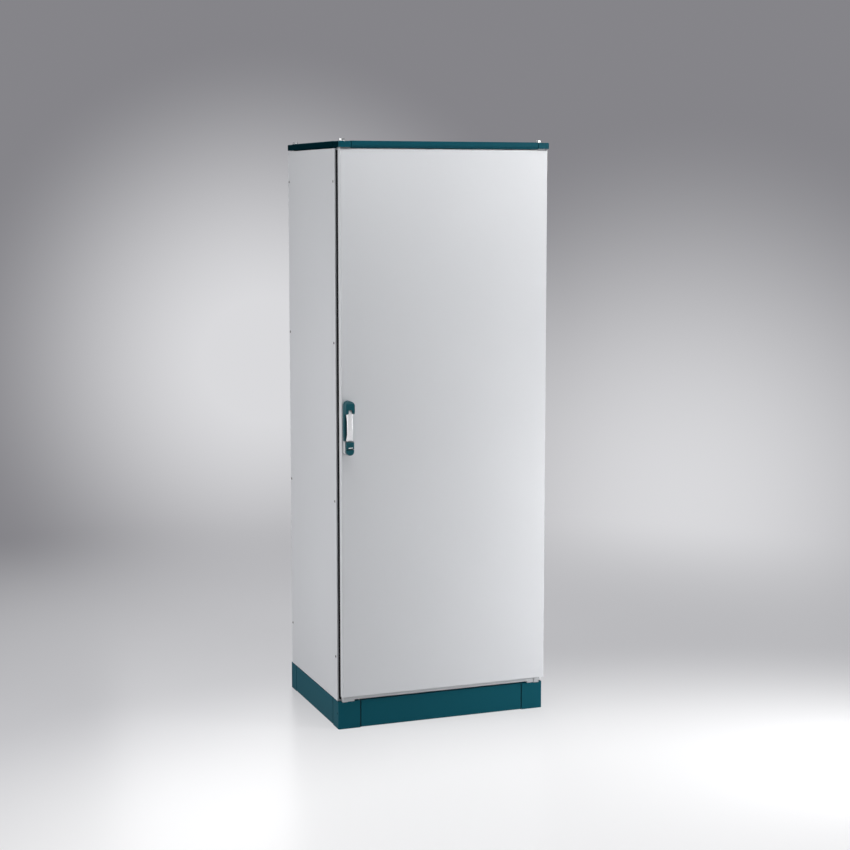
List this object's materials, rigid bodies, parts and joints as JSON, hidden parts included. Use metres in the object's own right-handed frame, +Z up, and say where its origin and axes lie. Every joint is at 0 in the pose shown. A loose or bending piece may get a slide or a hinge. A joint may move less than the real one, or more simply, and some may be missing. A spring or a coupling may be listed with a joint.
{
  "type": "traffic signal controller cabinet",
  "caption": "Floor-standing grey sheet-steel controller cabinet on a petrol plinth, with petrol roof trim, a full-height hinged door, swing handle with rod lock and an inner rack.",
  "frame": {"origin": "on the floor, in the middle of the plinth's four anchor holes", "axes": "+X to the right across the front, +Y from the door to the back, +Z up"},
  "size_m": [0.8032, 0.6656, 2.109],
  "materials": {
    "cabinet_grey": "light grey powder coat with a fine texture",
    "frame_grey": "primed light grey",
    "plinth_teal": "satin petrol powder coat",
    "trim_teal": "satin petrol moulding",
    "zinc_steel": "bright zinc plating",
    "lever_silver": "satin silver die casting",
    "handle_grey": "light grey moulding",
    "handle_teal": "semi-gloss petrol moulding",
    "seal_black": "black foam",
    "pocket_grey": "moulded light grey",
    "chassis_metal": "satin anodised",
    "card_front": "pale satin",
    "power_dark": "dark grey paint",
    "terminal_beige": "beige moulding",
    "switch_black": "black moulding",
    "knob_red": "red moulding",
    "earth_copper": "drawn bar"
  },
  "bodies": {
    "cabinet": {"base_frame": "frame_grey", "cable_entry_strips": "seal_black", "controller_chassis": "chassis_metal", "earth_bar": "earth_copper", "floor_plates": "zinc_steel", "frame_bolts": "zinc_steel", "frame_post_front_left": "frame_grey", "frame_post_front_right": "frame_grey", "frame_post_rear_left": "frame_grey", "frame_post_rear_right": "frame_grey", "hinge_frame_leaves": "zinc_steel", "hinge_pins": "zinc_steel", "lock_keepers": "zinc_steel", "mains_switch": "switch_black", "mounting_plate": "zinc_steel", "panel_screws": "zinc_steel", "plinth_corner_front_left": "plinth_teal", "plinth_corner_front_right": "plinth_teal", "plinth_corner_rear_left": "plinth_teal", "plinth_corner_rear_right": "plinth_teal", "plinth_panel_front": "plinth_teal", "plinth_panel_left": "plinth_teal", "plinth_panel_rear": "plinth_teal", "plinth_panel_right": "plinth_teal", "plug_in_cards": "card_front", "power_unit": "power_dark", "rack_frame": "zinc_steel", "rear_panel": "cabinet_grey", "roof_bolts": "zinc_steel", "roof_corner_front_left": "trim_teal", "roof_corner_front_right": "trim_teal", "roof_corner_rear_left": "trim_teal", "roof_corner_rear_right": "trim_teal", "roof_panel": "cabinet_grey", "roof_trim_front": "trim_teal", "roof_trim_left": "trim_teal", "roof_trim_rear": "trim_teal", "roof_trim_right": "trim_teal", "side_panel_left": "cabinet_grey", "side_panel_right": "cabinet_grey", "support_rails": "zinc_steel", "terminal_blocks": "terminal_beige", "top_frame": "frame_grey"},
    "door": {"door_leaf": "cabinet_grey", "door_seal": "seal_black", "door_stiles": "zinc_steel", "document_pocket": "pocket_grey", "hinge_door_leaves": "zinc_steel", "handle_base": "handle_grey", "handle_end_cap": "handle_teal", "lock_case": "zinc_steel", "rod_guides": "zinc_steel"},
    "handle_hub": {"handle_head": "handle_teal", "lever_pin": "zinc_steel", "pinion_shaft": "zinc_steel"},
    "lever": {"handle_lever": "lever_silver"},
    "button": {"release_button": "handle_teal"},
    "upper_rod": {"upper_lock_rod": "zinc_steel"},
    "lower_rod": {"lower_lock_rod": "zinc_steel"},
    "switch_knob": {"mains_switch_knob": "knob_red"}
  },
  "joints": [
    {"name": "door_swing", "type": "hinge", "parent": "cabinet", "child": "door", "pos_m": [0.392, -0.297, 1.097], "axis": [0, 0, 1], "range_deg": [0, 120]},
    {"name": "handle_turn", "type": "hinge", "parent": "door", "child": "handle_hub", "pos_m": [-0.3705, -0.34, 1.17275], "axis": [0, -1, 0], "range_deg": [0, 90]},
    {"name": "lever_lift", "type": "hinge", "parent": "handle_hub", "child": "lever", "pos_m": [-0.3705, -0.354, 1.15875], "axis": [-1, 0, 0], "range_deg": [0, 35]},
    {"name": "button_press", "type": "slide", "parent": "door", "child": "button", "axis": [0, 1, 0], "range_m": [0, 0.003], "stiffness_N_per_m": 300, "springref_m": -0.003},
    {"name": "upper_rod_slide", "type": "slide", "parent": "door", "child": "upper_rod", "axis": [0, 0, -1], "range_m": [0, 0.0189]},
    {"name": "lower_rod_slide", "type": "slide", "parent": "door", "child": "lower_rod", "axis": [0, 0, 1], "range_m": [0, 0.0189]},
    {"name": "mains_switch_turn", "type": "hinge", "parent": "cabinet", "child": "switch_knob", "pos_m": [0, 0.15, 0.85994], "axis": [0, -1, 0], "range_deg": [0, 90]}
  ],
  "couplings": [
    {"joint": "upper_rod_slide", "follows": "handle_turn", "m_per_rad": 0.012},
    {"joint": "lower_rod_slide", "follows": "handle_turn", "m_per_rad": 0.012}
  ]
}
